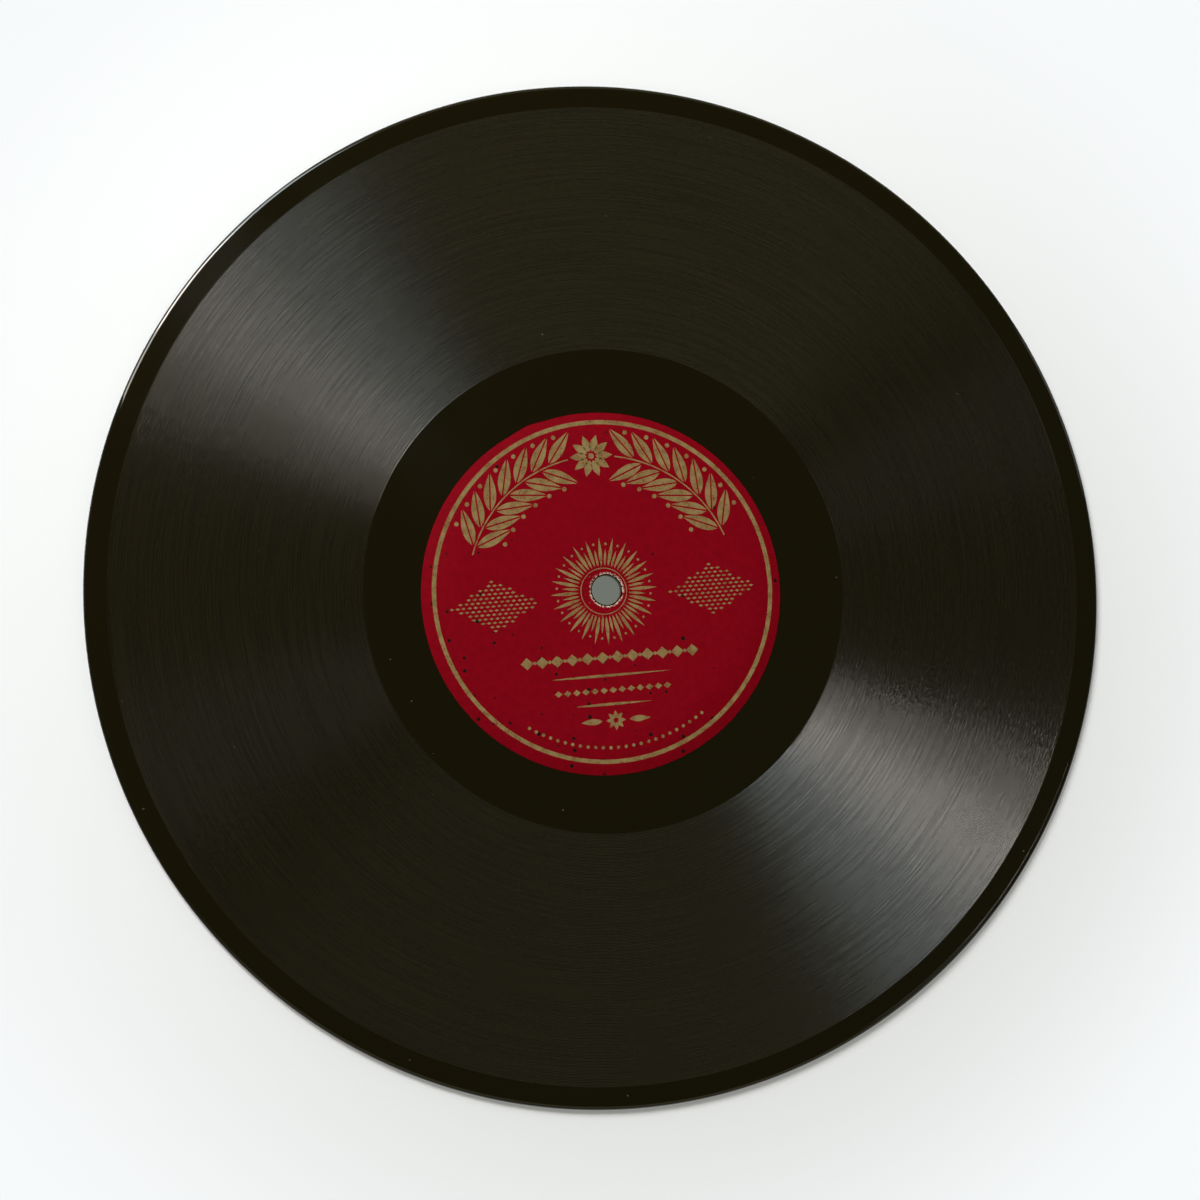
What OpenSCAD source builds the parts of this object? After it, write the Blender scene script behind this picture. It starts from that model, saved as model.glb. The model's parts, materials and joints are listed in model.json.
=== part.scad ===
// Ten-inch shellac record of laminated build, lying on side B with side A up.
// A coarse core is faced on both sides with fine grooved shellac over a barrier paper,
// and each facing carries a paper label pressed flush into its middle.

/* [Disc] */
// Diameter of the record over its rim
disc_d = 250.8; // [220:0.2:310]
// Thickness of the record at its lands
disc_t = 2.3; // [2:0.1:2.8]
// Diameter of the spindle hole
hole_d = 7.26; // [6.8:0.02:8]

/* [Edge] */
// Radius of the rounded corners of the rim
edge_r = 0.8; // [0.6:0.05:0.95]

/* [Layers] */
// Thickness of each grooved facing
facing_t = 0.4; // [0.3:0.01:0.45]
// Thickness of each barrier paper
paper_t = 0.1; // [0.05:0.01:0.2]
// Distance from the rim to the edge of each barrier paper
paper_setback = 4; // [3.8:0.1:10]
// Gap round the edge of a barrier paper in its seat
paper_gap = 0.05; // [0.02:0.01:0.2]

/* [Groove] */
// Plain margin between the rim and the first turn
margin_w = 5.4; // [3.8:0.1:10]
// Least diameter of the plain middle inside the last turn
middle_d = 118.6; // [112:0.1:140]
// Distance from one turn to the next
groove_pitch = 0.36; // [0.3:0.002:0.6]
// Width of the groove at the surface
groove_w = 0.22; // [0.1:0.01:0.26]
// Depth of the groove below the surface
groove_depth = 0.09; // [0.03:0.005:0.12]

/* [Labels] */
// Diameter of each paper label
label_d = 88.9; // [70:0.1:105]
// Thickness of each paper label
label_t = 0.12; // [0.08:0.01:0.2]
// Gap round the edge of a label in its seat
label_gap = 0.05; // [0.02:0.01:0.2]
// How far spindles have worn the paper back from the edge of the hole
label_wear = 0.25; // [0:0.05:1]

/* [Hidden] */
$fn = 180;

disc_r = disc_d / 2;
half_t = disc_t / 2;
hole_r = hole_d / 2;
paper_r = disc_r - paper_setback;
paper_seat_r = paper_r + paper_gap;
label_r = label_d / 2;
label_seat_r = label_r + label_gap;

// Heights above the middle plane
facing_z = half_t - facing_t;
paper_z = facing_z - paper_t;
label_z = half_t - label_t;

// The rim has a straight wall between the rounded corners of its two faces.
corner_x = disc_r - edge_r;
wall_z = half_t - edge_r;

// The groove is one spiral that winds inwards counter-clockwise: half turns above the X axis are struck
// from the middle of the disc, and half turns below it from a second centre half a pitch to the left.
band_r = disc_r - margin_w;
turns = floor((band_r - middle_d / 2) / groove_pitch);
band_w = turns * groove_pitch;
second_centre = [-groove_pitch / 2, 0, 0];
second_band_r = band_r - groove_pitch / 2;
// Half turns are laid as one long arc with a short sector at each end, where the centre changes.
sector_a = 1;

shellac_black = [0.12, 0.1, 0.07];
core_brown = [0.24, 0.19, 0.14];
kraft_brown = [0.62, 0.48, 0.32];
label_red = [0.62, 0.05, 0.12];

// A plain ring of the section, from radius r1 to r2 and from height z1 to z2
module ring(r1, r2, z1, z2) translate([r1, z1]) square([r2 - r1, z2 - z1]);

// The part of a rounded corner between heights z1 and z2, with its centre at height corner_z
module corner(corner_z, z1, z2) intersection() {
  ring(corner_x, disc_r + edge_r, z1, z2);
  translate([corner_x, corner_z]) circle(edge_r);
}

// Lays a shape modelled about the middle plane as side A or, turned over, as side B
module side_a() translate([0, 0, half_t]) children();
module side_b() translate([0, 0, half_t]) rotate([180, 0, 0]) children();

module core_disc() color(core_brown) rotate_extrude() {
  ring(hole_r, paper_seat_r, -paper_z, paper_z);
  ring(paper_seat_r, corner_x, -facing_z, facing_z);
  corner(-wall_z, -facing_z, -wall_z);
  ring(corner_x, disc_r, -wall_z, wall_z);
  corner(wall_z, wall_z, facing_z);
}

module barrier_paper() color(kraft_brown) rotate_extrude() ring(hole_r, paper_r, paper_z, facing_z);

// Half of the XY plane, above or below the X axis
module upper_half() translate([-disc_d, 0]) square([2 * disc_d, disc_d]);
module lower_half() translate([-disc_d, -disc_d]) square([2 * disc_d, disc_d]);

// Plan of a disc whose edge follows the spiral, inset from the outside of the band
module spiral_plan(inset) {
  intersection() {
    circle(band_r - inset);
    upper_half();
  }
  intersection() {
    translate(second_centre) circle(second_band_r - inset);
    lower_half();
  }
}

// Section of the grooved band, with one V for each turn, inwards from radius r
module band_section(r) {
  grooves = [for (k = [0 : turns - 1]) let (bottom = r - (k + 0.5) * groove_pitch) each [
    [bottom + groove_w / 2, half_t],
    [bottom, half_t - groove_depth],
    [bottom - groove_w / 2, half_t]
  ]];
  polygon([
    [r, facing_z],
    [r, half_t],
    each grooves,
    [r - band_w, half_t],
    [r - band_w, facing_z]
  ]);
}

// Turns of the band from angle a1 to a2, about the middle of the disc or about the second centre
module upper_turns(a1, a2) rotate_extrude(start = a1, angle = a2 - a1) band_section(band_r);
module lower_turns(a1, a2)
  translate(second_centre) rotate_extrude(start = a1, angle = a2 - a1) band_section(second_band_r);

module right_sectors() {
  lower_turns(360 - sector_a, 360);
  upper_turns(0, sector_a);
}

module left_sectors() {
  upper_turns(180 - sector_a, 180);
  lower_turns(180, 180 + sector_a);
}

// The facing without its turns: the plain middle with the label's seat, and the plain margin
module plain_facing() difference() {
  rotate_extrude() {
    ring(hole_r, label_seat_r, facing_z, label_z);
    ring(label_seat_r, corner_x, facing_z, half_t);
    corner(wall_z, facing_z, disc_t);
  }
  linear_extrude(disc_t) difference() {
    spiral_plan(0);
    spiral_plan(band_w);
  }
}

module facing() color(shellac_black) {
  plain_facing();
  upper_turns(sector_a, 180 - sector_a);
  lower_turns(180 + sector_a, 360 - sector_a);
  right_sectors();
  left_sectors();
}

module label() color(label_red) rotate_extrude() ring(hole_r + label_wear, label_r, label_z, half_t);

side_a() core_disc();
side_a() barrier_paper();  // barrier_paper_a
side_b() barrier_paper();  // barrier_paper_b
side_a() facing();  // facing_a
side_b() facing();  // facing_b
side_a() label();  // label_a
side_b() label();  // label_b
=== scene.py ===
import json
import math

import bmesh
import bpy
from mathutils import Matrix, Vector, noise


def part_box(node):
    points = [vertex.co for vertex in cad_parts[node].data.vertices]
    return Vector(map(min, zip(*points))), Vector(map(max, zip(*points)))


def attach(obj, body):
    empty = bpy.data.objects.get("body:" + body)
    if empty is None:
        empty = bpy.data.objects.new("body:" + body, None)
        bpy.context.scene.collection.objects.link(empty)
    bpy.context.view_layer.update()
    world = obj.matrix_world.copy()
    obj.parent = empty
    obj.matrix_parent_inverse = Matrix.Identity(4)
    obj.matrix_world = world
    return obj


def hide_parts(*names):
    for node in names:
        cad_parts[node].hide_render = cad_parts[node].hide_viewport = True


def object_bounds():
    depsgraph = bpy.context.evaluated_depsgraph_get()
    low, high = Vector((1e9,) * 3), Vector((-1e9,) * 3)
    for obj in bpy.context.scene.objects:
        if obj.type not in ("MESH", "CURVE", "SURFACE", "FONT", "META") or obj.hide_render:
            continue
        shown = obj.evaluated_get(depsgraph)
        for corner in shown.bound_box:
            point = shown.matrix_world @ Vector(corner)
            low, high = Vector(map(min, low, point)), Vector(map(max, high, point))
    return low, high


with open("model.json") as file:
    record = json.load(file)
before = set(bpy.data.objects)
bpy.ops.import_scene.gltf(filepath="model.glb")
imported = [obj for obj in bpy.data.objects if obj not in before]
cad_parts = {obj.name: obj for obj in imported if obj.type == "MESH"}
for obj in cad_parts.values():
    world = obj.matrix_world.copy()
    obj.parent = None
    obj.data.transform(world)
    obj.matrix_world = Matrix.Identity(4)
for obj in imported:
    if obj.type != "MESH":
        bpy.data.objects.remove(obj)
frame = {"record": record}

cad_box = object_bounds()

# Camera
# A long lens looks almost straight down on side A, from a little to the left and below,
# so that the record fills the square frame as a very slightly flattened circle.
mm = 0.001
deg = math.radians
view_aim = Vector((-1.61, -2.46, 2.3)) * mm
view_distance = 636.63 * mm
view_tilt = deg(10.485)
view_azimuth = deg(-153.576)
view_lens = 78.31
view_clip = 10 * mm
sensor_w = 36


def show(name, data):
    """A new object in the scene, at the origin."""
    thing = bpy.data.objects.new(name, data)
    bpy.context.collection.objects.link(thing)
    return thing


def stand(spot, right, up, back):
    """Where an object stands whose right side, upper side and back point in the given ways."""
    return Matrix.Translation(spot) @ Matrix((right, up, back)).transposed().to_4x4()


view_back = Vector((
    math.sin(view_tilt) * math.cos(view_azimuth),
    math.sin(view_tilt) * math.sin(view_azimuth),
    math.cos(view_tilt),
))
view_right = Vector((0, 1, 0)).cross(view_back).normalized()
view_up = view_back.cross(view_right)
camera_data = bpy.data.cameras.new("camera")
camera_data.lens = view_lens
camera_data.sensor_width = sensor_w
camera_data.clip_start = view_clip
camera = show("camera", camera_data)
camera.matrix_world = stand(view_aim + view_distance * view_back, view_right, view_up, view_back)
bpy.context.scene.camera = camera
bpy.context.scene.view_settings.view_transform = "Standard"

# Floor
# A plain pale sheet that the record lies on. It keeps the record's shadow. Under the record's middle it is
# painted an even grey as painted shade, and away from the record it pales to a white studio sweep.
floor_half = 15.0
floor_drop = 0.03 * mm
floor_colour = (0.91, 0.935, 0.99, 1)
floor_roughness = 0.7
floor_specular = 0.2
painted_shade_colour = (0.160, 0.174, 0.150, 1)
shade_r = 50 * mm
sweep_colour = (0.93, 0.95, 0.96, 1)
sweep_near = 100 * mm
sweep_far = 200 * mm


def feed(tree, socket, value):
    """Links an output to a socket, or sets a plain value on it."""
    if isinstance(value, bpy.types.NodeSocket):
        tree.links.new(value, socket)
    else:
        socket.default_value = value


def add(tree, kind, inputs=None, **settings):
    """Adds a node, sets its options, and links or sets its inputs by name or place."""
    node = tree.nodes.new(kind)
    for option, value in settings.items():
        setattr(node, option, value)
    for key, value in (inputs or {}).items():
        feed(tree, node.inputs[key], value)
    return node


def calc(tree, operation, *values):
    """The result of a sum on up to three numbers."""
    return add(tree, "ShaderNodeMath", dict(enumerate(values)), operation=operation).outputs[0]


def vector(tree, operation, *values):
    """The result of a sum on vectors: a vector, or a number for a length or a dot product."""
    node = add(tree, "ShaderNodeVectorMath", dict(enumerate(values)), operation=operation)
    return node.outputs["Value" if operation in ("LENGTH", "DOT_PRODUCT") else "Vector"]


def ramp(tree, value, low, high, to_low=0.0, to_high=1.0):
    """A number brought smoothly from one range into another, and held at its ends."""
    inputs = {"Value": value, "From Min": low, "From Max": high, "To Min": to_low, "To Max": to_high}
    node = add(tree, "ShaderNodeMapRange", inputs, interpolation_type="SMOOTHSTEP")
    return node.outputs["Result"]


def tint(tree, share, first, second):
    """A colour between two others."""
    node = add(tree, "ShaderNodeMix", data_type="RGBA")
    feed(tree, node.inputs[0], share)
    feed(tree, node.inputs[6], first)
    feed(tree, node.inputs[7], second)
    return node.outputs[2]


def finish(name):
    """A new material with its node tree, its shader and its object coordinates."""
    material = bpy.data.materials.new(name)
    material.use_nodes = True
    tree = material.node_tree
    place = add(tree, "ShaderNodeTexCoord").outputs["Object"]
    return material, tree, tree.nodes["Principled BSDF"], place


def from_axis(tree, place):
    """Where a point lies in plan, and how far it is from the spindle axis."""
    plan = vector(tree, "MULTIPLY", place, (1, 1, 0))
    return plan, vector(tree, "LENGTH", plan)


corner_signs = ((-1, -1), (1, -1), (1, 1), (-1, 1))
floor_corners = [(x * floor_half, y * floor_half, -floor_drop) for x, y in corner_signs]
floor_mesh = bpy.data.meshes.new("floor")
floor_mesh.from_pydata(floor_corners, [], [(0, 1, 2, 3)])
floor = show("floor", floor_mesh)
floor_finish, tree, shader, place = finish("floor_sheet")
plan, radius = from_axis(tree, place)
# Painted shade: the sheet's colour turns grey under the record's middle
open_share = ramp(tree, radius, shade_r / 2, shade_r)
feed(tree, shader.inputs["Base Color"], tint(tree, open_share, painted_shade_colour, floor_colour))
shader.inputs["Roughness"].default_value = floor_roughness
shader.inputs["Specular IOR Level"].default_value = floor_specular
path = add(tree, "ShaderNodeLightPath").outputs
seen = calc(tree, "MAXIMUM", path["Is Camera Ray"], path["Is Glossy Ray"])
seen = calc(tree, "MAXIMUM", seen, path["Is Transmission Ray"])
# Camera, glossy and transmission rays see the sheet glow: the painted shade's even grey under the middle, the
# white sweep far out
shaded = calc(tree, "SUBTRACT", 1.0, open_share)
even = calc(tree, "MAXIMUM", shaded, ramp(tree, radius, sweep_near, sweep_far))
even_colour = tint(tree, open_share, painted_shade_colour, sweep_colour)
glow = add(tree, "ShaderNodeEmission", {"Color": even_colour, "Strength": 1.0}).outputs[0]
even_share = calc(tree, "MULTIPLY", seen, even)
surface = add(tree, "ShaderNodeMixShader", {0: even_share, 1: shader.outputs[0], 2: glow}).outputs[0]
tree.links.new(surface, tree.nodes["Material Output"].inputs["Surface"])
floor_mesh.materials.append(floor_finish)

# Studio light
# A bright softbox stands behind the record to the left, between a warm one and a cool one. Their long sides
# point at the record, so the groove catches them as two narrow fans. Weak fills light it from elsewhere.
light_distance = 1.0
mirror_way = Vector((0.165, 0.085))


def softbox(name, bearing, lean, wide, long, watts, colour):
    """A soft rectangular lamp, placed by the bearing and the slope of the groove walls that mirror it."""
    bearing = deg(bearing)
    level = lean * Vector((math.cos(bearing), math.sin(bearing))) + mirror_way
    away = Vector((level.x, level.y, math.sqrt(1 - level.length_squared)))
    inward = Vector((math.cos(bearing), math.sin(bearing), 0))
    across = inward.cross(away).normalized()
    along = away.cross(across)
    data = bpy.data.lights.new(name, "AREA")
    data.shape = "RECTANGLE"
    data.size = wide
    data.size_y = long
    data.energy = watts
    data.color = colour
    lamp = show(name, data)
    lamp.matrix_world = stand(light_distance * away, across, along, away)


softbox("bright_softbox", 145.5, 0.70, 0.15, 0.45, 3.5, (1.0, 0.94, 0.90))
softbox("warm_softbox", 150.2, 0.70, 0.24, 0.52, 3.75, (1.0, 0.95, 0.84))
softbox("cool_softbox", 133.5, 0.70, 0.20, 0.52, 2.8, (0.88, 1.0, 1.03))
softbox("right_fill", 22, 0.60, 0.20, 0.40, 0.25, (1.0, 0.98, 0.95))
softbox("upper_fill", 90, 0.70, 1.5, 0.5, 1.1, (1.0, 0.95, 0.60))
softbox("lower_fill", 270, 0.70, 1.5, 0.5, 1.1, (1.0, 0.95, 0.60))

# Room
# A dim room round the record, for the flat shellac to mirror. Its walls are pale
# near the floor and grow dark overhead.
room_colour = (1.0, 0.98, 0.94, 1)
wall_ramp = (0.05, 0.40, 0.50, 0.12)
overhead_ramp = (0.40, 0.90, 1.0, 0.25)


def axes_of(tree, value):
    """The X, Y and Z of a vector."""
    return add(tree, "ShaderNodeSeparateXYZ", {0: value}).outputs


world = bpy.data.worlds.new("room")
world.use_nodes = True
bpy.context.scene.world = world
tree = world.node_tree
height = axes_of(tree, add(tree, "ShaderNodeTexCoord").outputs["Generated"])["Z"]
wall = ramp(tree, height, *wall_ramp)
overhead = ramp(tree, height, *overhead_ramp)
room = tree.nodes["Background"]
room.inputs["Color"].default_value = room_colour
feed(tree, room.inputs["Strength"], calc(tree, "MULTIPLY", wall, overhead))

# Core
# The coarse, filled middle of the pressing, of ground slate and shellac. Its lip closes round both barrier
# papers, and its wall is the edge of the record, trimmed and polished, with a few small chips.
disc_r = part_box("core_disc")[1].x
disc_t = cad_box[1].z - cad_box[0].z
half_t = disc_t / 2
facing_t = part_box("facing_a")[1].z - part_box("facing_a")[0].z
paper_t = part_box("barrier_paper_a")[1].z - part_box("barrier_paper_a")[0].z
hole_r = frame["record"]["mounts"][0]["dims"]["r_mm"] * mm
paper_gap = 0.05 * mm
paper_seat_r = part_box("barrier_paper_a")[1].x + paper_gap
facing_z = half_t - facing_t
paper_z = facing_z - paper_t

# At the rim each face eases down along a wide arc, then turns along a tight one into a straight wall.
# The core and the facing share the tight arc.
ease_r = 1.48 * mm
ease_turn = deg(22)
turn_r = 0.62 * mm
turn_x = disc_r - turn_r
ease_x = turn_x - (ease_r - turn_r) * math.sin(ease_turn)
ease_z = half_t - ease_r
turn_z = ease_z + (ease_r - turn_r) * math.cos(ease_turn)
ease_end = math.pi / 2 - ease_turn
facing_edge_angle = math.asin((facing_z - turn_z) / turn_r)
core_arc_steps = 4
core_columns = 1080

# Bearing in degrees, depth, and spread in degrees of each chip
chips = ((-132.4, 0.55 * mm, 0.9), (31.5, 0.45 * mm, 0.8), (-61.0, 0.18 * mm, 0.5))

slate_dark = (0.012, 0.010, 0.005, 1)
slate_pale = (0.034, 0.030, 0.022, 1)
slate_fineness = 2600.0
slate_range = (0.35, 0.75)
core_roughness_ramp = (0.3, 0.8, 0.22, 0.42)
core_relief = (0.12, 0.06 * mm)


def arc(x, z, r, start, end, steps):
    """Points of a section along an arc, from one angle to another."""
    angles = [start + (end - start) * i / steps for i in range(steps + 1)]
    return [(x + r * math.cos(a), z + r * math.sin(a)) for a in angles]


def turned(name, section, columns, closed=True):
    """A mesh turned about the spindle axis from the section that each angle has."""
    rings = [section(math.tau * i / columns) for i in range(columns)]
    rows = len(rings[0])
    points = []
    for i, ring in enumerate(rings):
        angle = math.tau * i / columns
        points += [(r * math.cos(angle), r * math.sin(angle), half_t + z) for r, z in ring]
    faces = []
    for i in range(columns):
        after = (i + 1) % columns
        for j in range(rows if closed else rows - 1):
            above = (j + 1) % rows
            faces.append((i * rows + j, after * rows + j, after * rows + above, i * rows + above))
    mesh = bpy.data.meshes.new(name)
    mesh.from_pydata(points, [], faces)
    return show(name, mesh)


def soften(piece, corner=50):
    """Shades a piece smooth, with sharp edges where its faces turn by more than a corner."""
    piece.data.shade_smooth()
    piece.data.set_sharp_from_angle(angle=deg(corner))


def cloud(tree, place, fineness, detail, roughness=0.5, **settings):
    """Cloudy noise about 0.5, with about so many clouds to the metre."""
    inputs = {"Vector": place, "Scale": fineness, "Detail": detail, "Roughness": roughness}
    return add(tree, "ShaderNodeTexNoise", inputs, **settings).outputs[0]


def relief(tree, shader, height, strength, depth):
    """Roughens the surface of a shader."""
    bump = add(tree, "ShaderNodeBump", {"Height": height, "Strength": strength, "Distance": depth})
    tree.links.new(bump.outputs[0], shader.inputs["Normal"])


def chipped(angle):
    """How far the wall is broken away at an angle."""
    depth = 0
    for bearing, deep, spread in chips:
        off = (math.degrees(angle) - bearing + 180) % 360 - 180
        depth += deep * math.exp(-(off / spread) ** 2)
    return depth


def core_section(angle):
    """The core from its hole out along side B, round the rim and back along side A."""
    loss = chipped(angle)
    upper = [(disc_r, 0)] + arc(turn_x, turn_z, turn_r, 0, facing_edge_angle, core_arc_steps)
    rim = [(r, -z) for r, z in upper[:0:-1]] + upper
    rim = [(r - loss * math.cos(math.pi / 2 * z / facing_z), z) for r, z in rim]
    return (
        [(hole_r, -paper_z), (paper_seat_r, -paper_z), (paper_seat_r, -facing_z)]
        + rim
        + [(paper_seat_r, facing_z), (paper_seat_r, paper_z), (hole_r, paper_z)]
    )


core_finish, tree, shader, place = finish("core_compound")
slate = cloud(tree, place, slate_fineness, detail=4.0)
feed(tree, shader.inputs["Base Color"], tint(tree, ramp(tree, slate, *slate_range), slate_dark, slate_pale))
feed(tree, shader.inputs["Roughness"], ramp(tree, slate, *core_roughness_ramp))
relief(tree, shader, slate, *core_relief)

core = turned("core", core_section, core_columns)
core.data.materials.append(core_finish)
soften(core)
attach(core, "root")
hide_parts("core_disc")

# Barrier papers
# Two discs of brown kraft paper, laid in the core's shallow seats before the pressing,
# which keep the coarse core out of the fine facings. They stay inside the record.
kraft_dark = (0.27, 0.15, 0.065, 1)
kraft_pale = (0.40, 0.25, 0.12, 1)
pulp_fineness = 900.0
kraft_fibre_fineness = 4200.0
kraft_roughness_ramp = (0.2, 0.8, 0.7, 0.9)
kraft_relief = (0.3, 0.03 * mm)
cloud_range = (0.3, 0.7)

kraft_finish, tree, shader, place = finish("barrier_paper")
pulp = cloud(tree, place, pulp_fineness, detail=6.0)
fibre = cloud(tree, place, kraft_fibre_fineness, detail=2.0)
feed(tree, shader.inputs["Base Color"], tint(tree, ramp(tree, pulp, *cloud_range), kraft_dark, kraft_pale))
feed(tree, shader.inputs["Roughness"], ramp(tree, fibre, *kraft_roughness_ramp))
relief(tree, shader, fibre, *kraft_relief)
for side in ("a", "b"):
    paper = bpy.data.objects["barrier_paper_" + side]
    paper.data.materials.clear()
    paper.data.materials.append(kraft_finish)

# Facings
# The fine shellac skins that carry the sound: a plain margin, scored with one fine line and rounded off at
# the rim, one spiral V groove, a plain polished ring, and a shallow seat in which the label is pressed flush.
margin_w = 5.4 * mm
middle_r = 59.3 * mm
groove_pitch_aim = 0.36 * mm
groove_w = 0.22 * mm
groove_depth = 0.09 * mm
groove_columns = 180
groove_rows = 3.0
spare_rows = 8.0
groove_lead = 0.15
groove_unevenness = 0.35
swell_rate = 2.3
groove_weld = 0.004 * mm
scored_r = disc_r - 1.15 * mm
scored_w = 0.04 * mm
scored_depth = 0.024 * mm
scored_hold = 0.02 * mm
turn_arc_steps = 8
ease_arc_steps = 6
band_out_r = disc_r - margin_w
band_in_r = middle_r
groove_turns = round((band_out_r - band_in_r - groove_w) / groove_pitch_aim)

# The label lies a little off the middle, and its edge has a slight corner, so its seat does too
label_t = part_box("label_a")[1].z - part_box("label_a")[0].z
label_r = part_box("label_a")[1].x
label_gap = 0.05 * mm
label_z = half_t - label_t
label_offset = Vector((-0.97, -0.76)) * mm
label_corner_at = deg(116)
label_corner_rise = 0.35 * mm
label_corner_spread = deg(6)


def node_tree(name, inputs):
    """A geometry tree with its named inputs, its way in and its way out."""
    tree = bpy.data.node_groups.new(name, "GeometryNodeTree")
    tree.is_modifier = True
    tree.interface.new_socket("Geometry", in_out="INPUT", socket_type="NodeSocketGeometry")
    for label, kind in inputs.items():
        tree.interface.new_socket(label, in_out="INPUT", socket_type="NodeSocket" + kind)
    tree.interface.new_socket("Geometry", in_out="OUTPUT", socket_type="NodeSocketGeometry")
    return tree, add(tree, "NodeGroupInput").outputs


def point(tree, x=0.0, y=0.0, z=0.0):
    """A vector from its X, Y and Z."""
    return add(tree, "ShaderNodeCombineXYZ", {"X": x, "Y": y, "Z": z}).outputs[0]


def weld(tree, first, second, distance):
    """Two geometries joined where they meet."""
    joined = add(tree, "GeometryNodeJoinGeometry")
    tree.links.new(first, joined.inputs[0])
    tree.links.new(second, joined.inputs[0])
    inputs = {"Geometry": joined.outputs[0], "Distance": distance}
    return add(tree, "GeometryNodeMergeByDistance", inputs).outputs[0]


def close_tree(tree, geometry, material):
    """Ends a geometry tree in plain geometry with its material."""
    plain = add(tree, "GeometryNodeRealizeInstances", {0: geometry}).outputs[0]
    dressed = add(tree, "GeometryNodeSetMaterial", {"Geometry": plain, "Material": material}).outputs[0]
    add(tree, "NodeGroupOutput", {0: dressed})


def settle(piece, tree, sizes):
    """Runs a geometry tree on a piece and keeps the result as the piece's plain mesh."""
    modifier = piece.modifiers.new(tree.name, "NODES")
    modifier.node_group = tree
    for item in tree.interface.items_tree:
        if item.in_out == "INPUT" and item.name in sizes:
            modifier[item.identifier] = sizes[item.name]
    result = piece.evaluated_get(bpy.context.evaluated_depsgraph_get())
    mesh = bpy.data.meshes.new_from_object(result)
    piece.modifiers.clear()
    mesh.name = piece.name
    piece.data = mesh


def turn_over(piece, name):
    """A copy of a piece of side A, turned over about the X axis to be side B's."""
    mesh = piece.data.copy()
    mesh.name = name
    mesh.transform(Matrix.Translation((0, 0, disc_t)) @ Matrix.Rotation(math.pi, 4, "X"))
    return show(name, mesh)


def label_edge(angle):
    """How far the edge of the label lies from the spindle axis."""
    way = Vector((math.cos(angle), math.sin(angle)))
    round_edge = label_offset.dot(way) + math.sqrt(label_r ** 2 - label_offset.cross(way) ** 2)
    off = abs(math.remainder(angle - label_corner_at, math.tau))
    return round_edge + label_corner_rise * max(0, 1 - off / label_corner_spread)


def facing_section(angle):
    """The facing without its band: plain ring, label seat, underside, rim and margin."""
    seat_r = label_edge(angle) + label_gap
    steep_w = scored_w / 5
    brinks = (scored_w + scored_hold, scored_w, -steep_w, -steep_w - scored_hold)
    line = [(scored_r + off, half_t) for off in brinks]
    line.insert(2, (scored_r, half_t - scored_depth))
    return (
        [(band_in_r, half_t), (seat_r, half_t), (seat_r, label_z), (hole_r, label_z), (hole_r, facing_z)]
        + arc(turn_x, turn_z, turn_r, facing_edge_angle, ease_end, turn_arc_steps)
        + arc(ease_x, ease_z, ease_r, ease_end, math.pi / 2, ease_arc_steps)[1:]
        + line
        + [(band_out_r, half_t)]
    )


# The band is a grid whose columns go round the disc and whose rows run inwards, three to a turn: the outer
# edge, the bottom and the inner edge of the groove. Each column shifts its rows on along the spiral, so
# the last column's rows meet the first column's next turn.
groove_tree, given = node_tree("spiral_groove", {
    "Outer radius": "Float",
    "Inner radius": "Float",
    "Turns": "Int",
    "Columns": "Int",
    "Width": "Float",
    "Depth": "Float",
    "Top": "Float",
    "Lead": "Float",
    "Unevenness": "Float",
    "Material": "Material",
})
tree = groove_tree
rows = calc(tree, "MULTIPLY_ADD", given["Turns"], groove_rows, spare_rows)
grid = add(tree, "GeometryNodeMeshGrid", {
    "Vertices X": calc(tree, "ADD", given["Columns"], 1.0),
    "Vertices Y": rows,
}).outputs["Mesh"]
index = add(tree, "GeometryNodeInputIndex").outputs[0]
column = calc(tree, "FLOOR", calc(tree, "DIVIDE", calc(tree, "ADD", index, 0.5), rows))
row = calc(tree, "SUBTRACT", index, calc(tree, "MULTIPLY", column, rows))
lane = calc(tree, "SUBTRACT", row, 1.0)
whole = calc(tree, "FLOOR", calc(tree, "DIVIDE", calc(tree, "ADD", lane, 0.5), groove_rows))
part = calc(tree, "SUBTRACT", lane, calc(tree, "MULTIPLY", whole, groove_rows))
share = calc(tree, "DIVIDE", column, given["Columns"])
turn = calc(tree, "ADD", calc(tree, "SUBTRACT", whole, 1.0), share)
half_w = calc(tree, "MULTIPLY", given["Width"], 0.5)
band = calc(tree, "SUBTRACT", given["Outer radius"], given["Inner radius"])
pitch = calc(tree, "DIVIDE", calc(tree, "SUBTRACT", band, given["Width"]), given["Turns"])
middle = calc(tree, "SUBTRACT", given["Outer radius"], calc(tree, "MULTIPLY_ADD", pitch, turn, half_w))
across = calc(tree, "MULTIPLY_ADD", calc(tree, "SUBTRACT", 1.0, part), half_w, middle)
across = calc(tree, "MINIMUM", calc(tree, "MAXIMUM", across, given["Inner radius"]), given["Outer radius"])
lead_in = calc(tree, "DIVIDE", turn, given["Lead"])
lead_out = calc(tree, "DIVIDE", calc(tree, "SUBTRACT", given["Turns"], turn), given["Lead"])
cut = calc(tree, "MAXIMUM", calc(tree, "MINIMUM", calc(tree, "MINIMUM", lead_in, lead_out), 1.0), 0.0)
swell_inputs = {"W": turn, "Scale": swell_rate, "Detail": 3.0}
loudness = add(tree, "ShaderNodeTexNoise", swell_inputs, noise_dimensions="1D").outputs[0]
swell = calc(tree, "MULTIPLY_ADD", calc(tree, "SUBTRACT", loudness, 0.5), given["Unevenness"], 1.0)
at_bottom = calc(tree, "COMPARE", part, 1.0, 0.1)
drop = calc(tree, "MULTIPLY", given["Depth"], at_bottom)
drop = calc(tree, "MULTIPLY", drop, calc(tree, "MULTIPLY", cut, swell))
angle = calc(tree, "MULTIPLY", share, math.tau)
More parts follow.
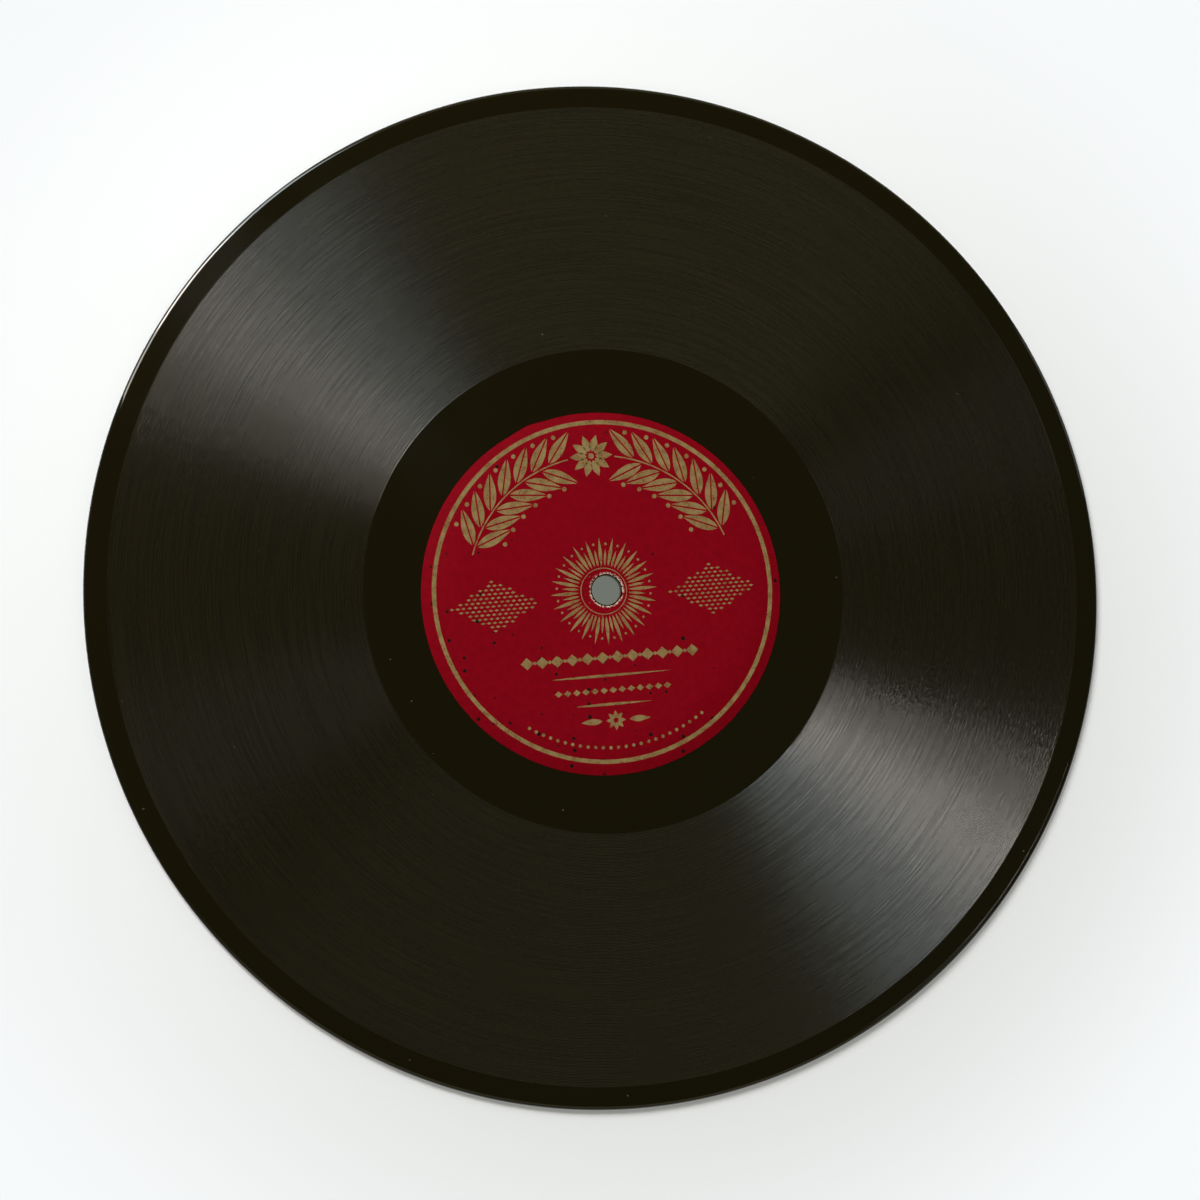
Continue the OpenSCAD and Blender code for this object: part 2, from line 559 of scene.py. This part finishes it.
spot = point(
    tree,
    calc(tree, "MULTIPLY", across, calc(tree, "COSINE", angle)),
    calc(tree, "MULTIPLY", across, calc(tree, "SINE", angle)),
    calc(tree, "SUBTRACT", given["Top"], drop),
)
spiral = add(tree, "GeometryNodeSetPosition", {"Geometry": grid, "Position": spot}).outputs[0]
close_tree(tree, weld(tree, given["Geometry"], spiral, groove_weld), given["Material"])

# Black shellac: glossy where it is plain; along the turns of the groove its colour is painted lighter grey in
# streaks, a painted sheen of the walls' reflection
margin_black = (0.0080, 0.0062, 0.0013, 1)
groove_black = (0.0078, 0.0063, 0.0016, 1)
groove_sheen_grey = (0.0130, 0.0105, 0.0028, 1)
dust_grey = (0.10, 0.095, 0.08, 1)
streak_rate = 3.0
streak_fineness = 2200.0
wave_rate = 100.0
wave_fineness = 2000.0
sheen_wave_share = 0.5
sheen_streak_share = 0.8
sheen_range = (0.45, 0.85)
sway_ramp = (0.0, 1.0, 0.06, 0.10)
uneven_ramp = (0.0, 1.0, 0.22, -0.08)
worn_steeper = 1.25
smudge_fineness = 45.0
plain_roughness_ramp = (0.3, 0.7, 0.05, 0.08)
groove_roughness_ramp = (0.0, 1.0, 0.22, 0.18)
dust_fineness = 190.0
dust_size = 0.045
dust_rarity = 0.97
dust_share = 0.7
into_world = {"vector_type": "VECTOR", "convert_from": "OBJECT", "convert_to": "WORLD"}


def scaled(tree, way, size):
    """A vector made longer or shorter."""
    return add(tree, "ShaderNodeVectorMath", {0: way, "Scale": size}, operation="SCALE").outputs["Vector"]


def specks(tree, plan, fineness, smallest, spread, rarity):
    """1 on scattered round specks of unequal sizes, and 0 elsewhere."""
    inputs = {"Vector": plan, "Scale": fineness}
    cells = add(tree, "ShaderNodeTexVoronoi", inputs, voronoi_dimensions="2D").outputs
    chance = add(tree, "ShaderNodeSeparateColor", {0: cells["Color"]}).outputs
    size = calc(tree, "MULTIPLY_ADD", chance["Green"], spread, smallest)
    within = calc(tree, "LESS_THAN", cells["Distance"], size)
    return calc(tree, "MULTIPLY", within, calc(tree, "GREATER_THAN", chance["Red"], rarity))


shellac_finish, tree, shader, place = finish("shellac_facing")
plan, radius = from_axis(tree, place)
outward_here = vector(tree, "NORMALIZE", plan)
onward_here = vector(tree, "CROSS_PRODUCT", (0, 0, 1), outward_here)
outward = add(tree, "ShaderNodeVectorTransform", {0: outward_here}, **into_world).outputs[0]
onward = add(tree, "ShaderNodeVectorTransform", {0: onward_here}, **into_world).outputs[0]
in_band = calc(
    tree, "MULTIPLY",
    ramp(tree, radius, band_in_r, band_in_r + groove_w),
    ramp(tree, radius, band_out_r - groove_w / 2, band_out_r, 1.0, 0.0),
)
# Passages of loud and quiet sound lie as streaks along the turns
ways = axes_of(tree, outward_here)
streak_place = point(
    tree,
    calc(tree, "MULTIPLY", ways["X"], streak_rate),
    calc(tree, "MULTIPLY", ways["Y"], streak_rate),
    calc(tree, "MULTIPLY", radius, streak_fineness),
)
streak = cloud(tree, streak_place, fineness=1.0, detail=2.0, roughness=0.6)
loud = ramp(tree, streak, *cloud_range)
# The recorded waves sway the groove's walls to and fro along each turn
bearing = calc(tree, "ARCTAN2", ways["Y"], ways["X"])
wave_place = point(
    tree,
    calc(tree, "MULTIPLY", bearing, wave_rate),
    calc(tree, "MULTIPLY", radius, wave_fineness),
)
wave = cloud(tree, wave_place, fineness=1.0, detail=2.0, noise_dimensions="2D")
sway = calc(tree, "MULTIPLY", calc(tree, "SUBTRACT", wave, 0.5), ramp(tree, loud, *sway_ramp))
sway = calc(tree, "MULTIPLY", sway, in_band)
# Needles have worn the wall that leans outwards a little steeper than the other
facing_way = add(tree, "ShaderNodeNewGeometry").outputs["Normal"]
slope = vector(tree, "DOT_PRODUCT", facing_way, outward)
uneven = calc(tree, "MULTIPLY", slope, ramp(tree, loud, *uneven_ramp))
steeper = calc(tree, "MULTIPLY_ADD", calc(tree, "MAXIMUM", slope, 0.0), worn_steeper, uneven)
steeper = calc(tree, "MULTIPLY", steeper, in_band)
leant = vector(tree, "ADD", facing_way, scaled(tree, onward, sway))
leant = vector(tree, "ADD", leant, scaled(tree, outward, steeper))
tree.links.new(vector(tree, "NORMALIZE", leant), shader.inputs["Normal"])
tree.links.new(outward, shader.inputs["Tangent"])
shader.inputs["Anisotropic"].default_value = 1.0
# Smudges of handling dull the gloss, and a few grains of dust lie about
smudge = cloud(tree, place, smudge_fineness, detail=5.0)
plain_roughness = ramp(tree, smudge, *plain_roughness_ramp)
groove_roughness = ramp(tree, loud, *groove_roughness_ramp)
feed(tree, shader.inputs["Roughness"], calc(tree, "MULTIPLY_ADD", in_band, groove_roughness, plain_roughness))
# Painted sheen: the groove's colour goes lighter grey along the recorded waves and the loud streaks
sheen_pattern = calc(tree, "MULTIPLY_ADD", wave, sheen_wave_share, calc(tree, "MULTIPLY", streak, sheen_streak_share))
groove_sheen = tint(tree, ramp(tree, sheen_pattern, *sheen_range), groove_black, groove_sheen_grey)
shellac = tint(tree, in_band, margin_black, groove_sheen)
dust = specks(tree, plan, dust_fineness, 0.0, dust_size, dust_rarity)
dusted = tint(tree, calc(tree, "MULTIPLY", dust, dust_share), shellac, dust_grey)
feed(tree, shader.inputs["Base Color"], dusted)

facing_a = turned("grooved_facing_a", facing_section, groove_columns, closed=False)
settle(facing_a, groove_tree, {
    "Outer radius": band_out_r,
    "Inner radius": band_in_r,
    "Turns": groove_turns,
    "Columns": groove_columns,
    "Width": groove_w,
    "Depth": groove_depth,
    "Top": disc_t,
    "Lead": groove_lead,
    "Unevenness": groove_unevenness,
    "Material": shellac_finish,
})
soften(facing_a, corner=60)
facing_b = turn_over(facing_a, "grooved_facing_b")
for facing, node in ((facing_a, "facing_a"), (facing_b, "facing_b")):
    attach(facing, "root")
    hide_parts(node)

# Labels
# Discs of thin calendered paper, dyed dark red through and pressed into the hot shellac, a little off the
# middle. Spindles have torn the paper back round the hole to its pale fibres.
label_wear = 0.25 * mm
label_columns = 480
label_rows = (0.75, 0.4)
label_lift = 0.004 * mm
edge_fray_rate = 40
edge_fray = 0.04 * mm
edge_round_w = 0.03 * mm
edge_round_h = 0.02 * mm
hole_fray_rate = 9
hole_fray_shift = Vector((3, 0, 0))
fine_fray_rate = 27
fine_fray_share = 0.6
hole_fray = 0.14 * mm
tear_w = 0.25 * mm
tear_spread = 0.20 * mm
tear_h = 0.03 * mm
tear_foot = 0.12 * mm
label_red = (0.214, 0.0014, 0.0076, 1)
label_deep = (0.184, 0.0011, 0.0063, 1)
torn_pale = (0.58, 0.50, 0.40, 1)
soot = (0.010, 0.006, 0.005, 1)
mottle_fineness = 700.0
label_fibre_fineness = 2600.0
label_roughness_ramp = (0.3, 0.7, 0.55, 0.75)
label_specular = 0.02
label_relief = (0.25, 0.03 * mm)
soot_fineness = 260.0
soot_smallest = 0.05
soot_spread = 0.085
soot_way = (0.62, 0.78, 0)
soot_rarity_ramp = (-36 * mm, 12 * mm, 0.66, 0.955)
scuff_fineness = 2400.0
torn_range = (0.46, 0.54)
torn_near = hole_r + 0.4 * mm
torn_far = hole_r + 0.9 * mm
rubbed_near = 6 * mm
rubbed_far = 13 * mm
rubbed_ramp = (0.62, 0.75, 0.0, 0.25)


def label_section(angle):
    """The label from the hole out along its underside, and back over its frayed edge to the tear."""
    way = Vector((math.cos(angle), math.sin(angle), 0))
    ragged = noise.noise(way * edge_fray_rate)
    frayed = noise.noise(way * hole_fray_rate + hole_fray_shift)
    frayed += fine_fray_share * noise.noise(way * fine_fray_rate)
    outer = label_edge(angle) - edge_fray * (1 + ragged)
    inner = hole_r + label_wear + hole_fray * (1 + frayed)
    torn = tear_w + tear_spread * abs(frayed)
    low = label_z + label_lift
    top = half_t
    return [
        (inner - tear_foot, low),
        (outer, low),
        (outer, top - edge_round_h),
        (outer - edge_round_w, top),
        *((share * outer, top) for share in label_rows),
        (inner + torn, top),
        (inner, top - tear_h),
    ]


label_finish, tree, shader, place = finish("label_paper")
plan, radius = from_axis(tree, place)
mottle = cloud(tree, place, mottle_fineness, detail=5.0)
fibre = cloud(tree, place, label_fibre_fineness, detail=3.0)
dye = tint(tree, ramp(tree, mottle, *cloud_range), label_deep, label_red)
# Pale fibres at the torn edge of the hole, and scuffs round it
scuff = cloud(tree, place, scuff_fineness, detail=4.0)
near_hole = ramp(tree, radius, torn_near, torn_far, 1.0, 0.0)
torn = calc(tree, "MULTIPLY", near_hole, ramp(tree, scuff, *torn_range))
round_hole = ramp(tree, radius, rubbed_near, rubbed_far, 1.0, 0.0)
rubbed = calc(tree, "MULTIPLY", round_hole, ramp(tree, scuff, *rubbed_ramp))
colour = tint(tree, calc(tree, "MAXIMUM", torn, rubbed), dye, torn_pale)
# Specks of soot, thickest towards the lower left
soot_rarity = ramp(tree, vector(tree, "DOT_PRODUCT", plan, soot_way), *soot_rarity_ramp)
sooted = specks(tree, plan, soot_fineness, soot_smallest, soot_spread, soot_rarity)
feed(tree, shader.inputs["Base Color"], tint(tree, sooted, colour, soot))
feed(tree, shader.inputs["Roughness"], ramp(tree, fibre, *label_roughness_ramp))
shader.inputs["Specular IOR Level"].default_value = label_specular
relief(tree, shader, fibre, *label_relief)

label_a = turned("red_label_a", label_section, label_columns)
label_a.data.materials.append(label_finish)
soften(label_a)
label_b = turn_over(label_a, "red_label_b")
for label, node in ((label_a, "label_a"), (label_b, "label_b")):
    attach(label, "root")
    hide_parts(node)

# Gold print
# Dull bronze ink on the labels: a plain border ring, a laurel garland over the top, a ring of rays round the
# hole, two diapered panels and rows of lozenges. It was printed a little off the middle and a little turned.
print_offset = Vector((-0.67, -0.27, 0)) * mm
print_turn = deg(5.5)
print_weld = 0.002 * mm
ink_t = 0.012 * mm
ink_sunk = ink_t / 4
ink_weld = 0.001 * mm
ink_gold = (0.262, 0.186, 0.077, 1)
ink_dark = (0.188, 0.126, 0.046, 1)
ink_patch_fineness = 420.0
ink_fleck_fineness = 3600.0
ink_patch_share = -0.35
ink_worn_range = (0.40, 0.52)
ink_roughness_ramp = (0.3, 0.7, 0.42, 0.62)
ink_specular = 0.12
ink_relief = (0.2, 0.02 * mm)

ink_finish, tree, shader, place = finish("gold_ink")
patch = cloud(tree, place, ink_patch_fineness, detail=4.0)
fleck = cloud(tree, place, ink_fleck_fineness, detail=3.0)
bronze = tint(tree, ramp(tree, patch, *cloud_range), ink_dark, ink_gold)
worn = ramp(tree, calc(tree, "MULTIPLY_ADD", patch, ink_patch_share, fleck), *ink_worn_range)
feed(tree, shader.inputs["Base Color"], tint(tree, worn, bronze, label_deep))
feed(tree, shader.inputs["Roughness"], ramp(tree, fleck, *ink_roughness_ramp))
shader.inputs["Specular IOR Level"].default_value = ink_specular
relief(tree, shader, fleck, *ink_relief)

print_pieces = []


def flat_motif(name, outlines):
    """A flat piece of print made of one face for each outline."""
    mesh = bpy.data.meshes.new(name)
    points = [(x, y, 0) for outline in outlines for x, y in outline]
    faces = []
    for outline in outlines:
        first = sum(len(face) for face in faces)
        faces.append(tuple(range(first, first + len(outline))))
    mesh.from_pydata(points, [], faces)
    return show(name, mesh)


def blade(length, half_w, rib=0.0, steps=10, skew=0.8):
    """A leaf along X, widest a little before its middle, in two halves where it has a bare rib."""
    along = [i / steps for i in range(steps + 1)]
    swell = [half_w * math.sin(math.pi * t ** skew) for t in along]
    upper = [(length * t, rib / 2 + s) for t, s in zip(along, swell)]
    lower = [(length * t, -rib / 2 - s) for t, s in zip(along, swell)]
    if rib:
        return [
            [(0, rib / 2), (length, rib / 2)] + upper[-2:0:-1],
            lower[1:-1] + [(length, -rib / 2), (0, -rib / 2)],
        ]
    return [lower[:-1] + upper[:0:-1]]


def lozenge(length, width):
    """A lozenge round the origin."""
    return [[(-length / 2, 0), (0, -width / 2), (length / 2, 0), (0, width / 2)]]


def dot(r, steps=12):
    """A round dot at the origin."""
    angles = [math.tau * i / steps for i in range(steps)]
    return [[(r * math.cos(a), r * math.sin(a)) for a in angles]]


def ring_print(name, inner, outer, first=0, last=360, steps=256):
    """A printed ring, or a stretch of one."""
    angles = [deg(first + (last - first) * i / steps) for i in range(steps + 1)]
    quads = []
    for a, b in zip(angles, angles[1:]):
        quads.append([
            (inner * math.cos(a), inner * math.sin(a)),
            (outer * math.cos(a), outer * math.sin(a)),
            (outer * math.cos(b), outer * math.sin(b)),
            (inner * math.cos(b), inner * math.sin(b)),
        ])
    print_pieces.append(flat_motif(name, quads))


# Rows along an arc about the middle of the print, each motif turned to the arc and tilted off it
arc_tree, given = node_tree("row_on_arc", {
    "Count": "Int",
    "Radius": "Float",
    "First": "Float",
    "Last": "Float",
    "Tilt": "Float",
    "Middle": "Vector",
    "Material": "Material",
})
tree = arc_tree
index = add(tree, "GeometryNodeInputIndex").outputs[0]
gaps = calc(tree, "MAXIMUM", calc(tree, "SUBTRACT", given["Count"], 1.0), 1.0)
step = calc(tree, "DIVIDE", calc(tree, "SUBTRACT", given["Last"], given["First"]), gaps)
angle = calc(tree, "MULTIPLY_ADD", index, step, given["First"])
spot = point(
    tree,
    calc(tree, "MULTIPLY", given["Radius"], calc(tree, "COSINE", angle)),
    calc(tree, "MULTIPLY", given["Radius"], calc(tree, "SINE", angle)),
)
spot = vector(tree, "ADD", spot, given["Middle"])
points = add(tree, "GeometryNodePoints", {"Count": given["Count"], "Position": spot}).outputs[0]
placed = add(tree, "GeometryNodeInstanceOnPoints", {
    "Points": points,
    "Instance": given["Geometry"],
    "Rotation": point(tree, z=calc(tree, "ADD", angle, given["Tilt"])),
}).outputs[0]
close_tree(tree, placed, given["Material"])


def arc_row(name, outlines, count, radius, first, last, tilt=0, middle=(0, 0, 0)):
    """A row of one motif along an arc, from the first angle to the last."""
    row = flat_motif(name, outlines)
    settle(row, arc_tree, {
        "Count": count,
        "Radius": radius,
        "First": deg(first),
        "Last": deg(last),
        "Tilt": deg(tilt),
        "Middle": middle,
        "Material": ink_finish,
    })
    print_pieces.append(row)


def ring_row(name, outlines, count, radius, first=0, middle=(0, 0, 0)):
    """A ring of one motif, evenly spaced all round."""
    arc_row(name, outlines, count, radius, first, first + 360 - 360 / count, middle=middle)


border_in_r = 41.06 * mm
border_out_r = 42.1 * mm
ring_print("border_ring", border_in_r, border_out_r)

# Two laurel sprays rise from either side and meet under a rosette at the top
garland_r = 33.3 * mm
spray_foot = 66
spray_tip = 14
stem_half_w = 0.16 * mm
leaf_foot = 0.6 * mm
leaf = blade(9.0 * mm, 1.35 * mm, rib=0.36 * mm)
berry = dot(0.55 * mm)
for name, sign in (("right", 1), ("left", -1)):
    first = 90 - spray_foot * sign
    last = 90 - spray_tip * sign
    stem_ends = (first - 4 * sign, last + 4 * sign)
    ring_print(name + "_stem", garland_r - stem_half_w, garland_r + stem_half_w, *stem_ends, steps=48)
    arc_row(name + "_outer_leaves", leaf, 7, garland_r + leaf_foot, first, last - 4 * sign, 54 * sign)
    arc_row(name + "_inner_leaves", leaf, 6, garland_r - leaf_foot, first, last - 8 * sign, 134 * sign)
    arc_row(name + "_outer_berries", berry, 7, garland_r + 6.2 * mm, first + 5 * sign, last + 1 * sign)
    arc_row(name + "_inner_berries", berry, 6, garland_r - 6.6 * mm, first + 6 * sign, last - 2 * sign)
garland_top = (0, garland_r, 0)
ring_row("top_rosette", blade(4.2 * mm, 0.95 * mm), 10, 1.1 * mm, middle=garland_top)
ring_row("top_rosette_eye", dot(0.75 * mm), 1, 0, middle=garland_top)

# Rays of two lengths stand round the hole, outside a fine ring
ray_count = 24
ray_foot_r = 6.2 * mm
half_ray_gap = 180 / ray_count
ring_row("long_rays", blade(7.0 * mm, 0.42 * mm), ray_count, ray_foot_r)
ring_row("short_rays", blade(4.2 * mm, 0.30 * mm), ray_count, ray_foot_r, half_ray_gap)
ring_row("ray_tips", dot(0.30 * mm), ray_count, 11.6 * mm, half_ray_gap)
ring_print("ray_ring", 5.55 * mm, 5.75 * mm, steps=96)

# Diapered panels: a grid of one motif, with every other row set over, kept where it lies inside a lozenge
panel_reach = 0.53
field_tree, given = node_tree("diapered_field", {
    "Columns": "Int",
    "Rows": "Int",
    "Column gap": "Float",
    "Row gap": "Float",
    "Middle": "Vector",
    "Material": "Material",
})
tree = field_tree
wide = calc(tree, "MULTIPLY", calc(tree, "SUBTRACT", given["Columns"], 1.0), given["Column gap"])
tall = calc(tree, "MULTIPLY", calc(tree, "SUBTRACT", given["Rows"], 1.0), given["Row gap"])
lattice = add(tree, "GeometryNodeMeshGrid", {
    "Size X": wide,
    "Size Y": tall,
    "Vertices X": given["Columns"],
    "Vertices Y": given["Rows"],
}).outputs["Mesh"]
at = axes_of(tree, add(tree, "GeometryNodeInputPosition").outputs[0])
line = calc(tree, "ROUND", calc(tree, "DIVIDE", calc(tree, "ADD", at["Y"], tall), given["Row gap"]))
odd = calc(tree, "FLOORED_MODULO", line, 2.0)
half_gap = calc(tree, "MULTIPLY", given["Column gap"], 0.5)
aside = point(tree, calc(tree, "MULTIPLY", calc(tree, "SUBTRACT", odd, 0.5), half_gap))
lattice = add(tree, "GeometryNodeSetPosition", {"Geometry": lattice, "Offset": aside}).outputs[0]
reach = calc(
    tree, "ADD",
    calc(tree, "DIVIDE", calc(tree, "ABSOLUTE", at["X"]), wide),
    calc(tree, "DIVIDE", calc(tree, "ABSOLUTE", at["Y"]), tall),
)
placed = add(tree, "GeometryNodeInstanceOnPoints", {
    "Points": lattice,
    "Selection": calc(tree, "LESS_THAN", reach, panel_reach),
    "Instance": given["Geometry"],
}).outputs[0]
plain = add(tree, "GeometryNodeRealizeInstances", {0: placed}).outputs[0]
shifted = add(tree, "GeometryNodeTransform", {"Geometry": plain, "Translation": given["Middle"]}).outputs[0]
close_tree(tree, shifted, given["Material"])

for name, sign in (("right", 1), ("left", -1)):
    panel = flat_motif(name + "_panel", lozenge(1.15 * mm, 0.62 * mm))
    settle(panel, field_tree, {
        "Columns": 15,
        "Rows": 13,
        "Column gap": 1.45 * mm,
        "Row gap": 1.0 * mm,
        "Middle": (27 * mm * sign, -1.5 * mm, 0),
        "Material": ink_finish,
    })
    print_pieces.append(panel)

# Rows below the hole: a bold chain, swelled rules, a finer chain and a small rosette
very_far = 3.0
bold_chain_y = -16.2 * mm
low_rosette_at = (0, -31.6 * mm, 0)


def straight_row(name, outlines, count, width, y):
    """A level row of one motif, as an arc too wide to show."""
    half = math.degrees(math.asin(width / 2 / very_far))
    arc_row(name, outlines, count, very_far, 270 - half, 270 + half, 90, (0, very_far + y, 0))


def swelled_rule(name, width, y):
    """A level rule that tapers to both ends."""
    rule = [(x - width / 2, z + y) for x, z in blade(width, 0.32 * mm, steps=24)[0]]
    print_pieces.append(flat_motif(name, [rule]))


straight_row("bold_chain", lozenge(3.1 * mm, 2.9 * mm), 12, 41 * mm, bold_chain_y)
straight_row("bold_chain_dots", dot(0.42 * mm), 11, 37.3 * mm, bold_chain_y)
swelled_rule("upper_rule", 30 * mm, -20.6 * mm)
straight_row("fine_chain", lozenge(1.9 * mm, 1.5 * mm), 13, 27 * mm, -24.2 * mm)
swelled_rule("lower_rule", 19 * mm, -27.6 * mm)
ring_row("low_rosette", blade(1.9 * mm, 0.5 * mm), 8, 0.5 * mm, middle=low_rosette_at)
ring_row("low_leaves", blade(5.2 * mm, 0.75 * mm), 2, 3.4 * mm, middle=low_rosette_at)
arc_row("low_dots", dot(0.42 * mm), 25, 38.2 * mm, 236, 304)

# The ink film: flat print given its thickness, closed underneath
film_tree, given = node_tree("ink_film", {"Thickness": "Float", "Material": "Material"})
tree = film_tree
raised = add(tree, "GeometryNodeExtrudeMesh", {
    "Mesh": given["Geometry"],
    "Offset": (0, 0, 1),
    "Offset Scale": given["Thickness"],
    "Individual": False,
}).outputs["Mesh"]
under = add(tree, "GeometryNodeFlipFaces", {0: given["Geometry"]}).outputs[0]
close_tree(tree, weld(tree, raised, under, ink_weld), given["Material"])

# All of the print becomes one film of ink, set on the label as it was printed
sheet = bmesh.new()
for piece in print_pieces:
    sheet.from_mesh(piece.data)
    bpy.data.objects.remove(piece)
bmesh.ops.remove_doubles(sheet, verts=sheet.verts, dist=print_weld)
print_place = Matrix.Translation(print_offset + Vector((0, 0, disc_t - ink_sunk)))
bmesh.ops.transform(sheet, matrix=print_place @ Matrix.Rotation(print_turn, 4, "Z"), verts=sheet.verts)
for face in sheet.faces:
    face.normal_update()
    if face.normal.z < 0:
        face.normal_flip()
film = bpy.data.meshes.new("gold_print_a")
sheet.to_mesh(film)
sheet.free()
print_a = show("gold_print_a", film)
settle(print_a, film_tree, {"Thickness": ink_t, "Material": ink_finish})
print_b = turn_over(print_a, "gold_print_b")
for piece in (print_a, print_b):
    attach(piece, "root")
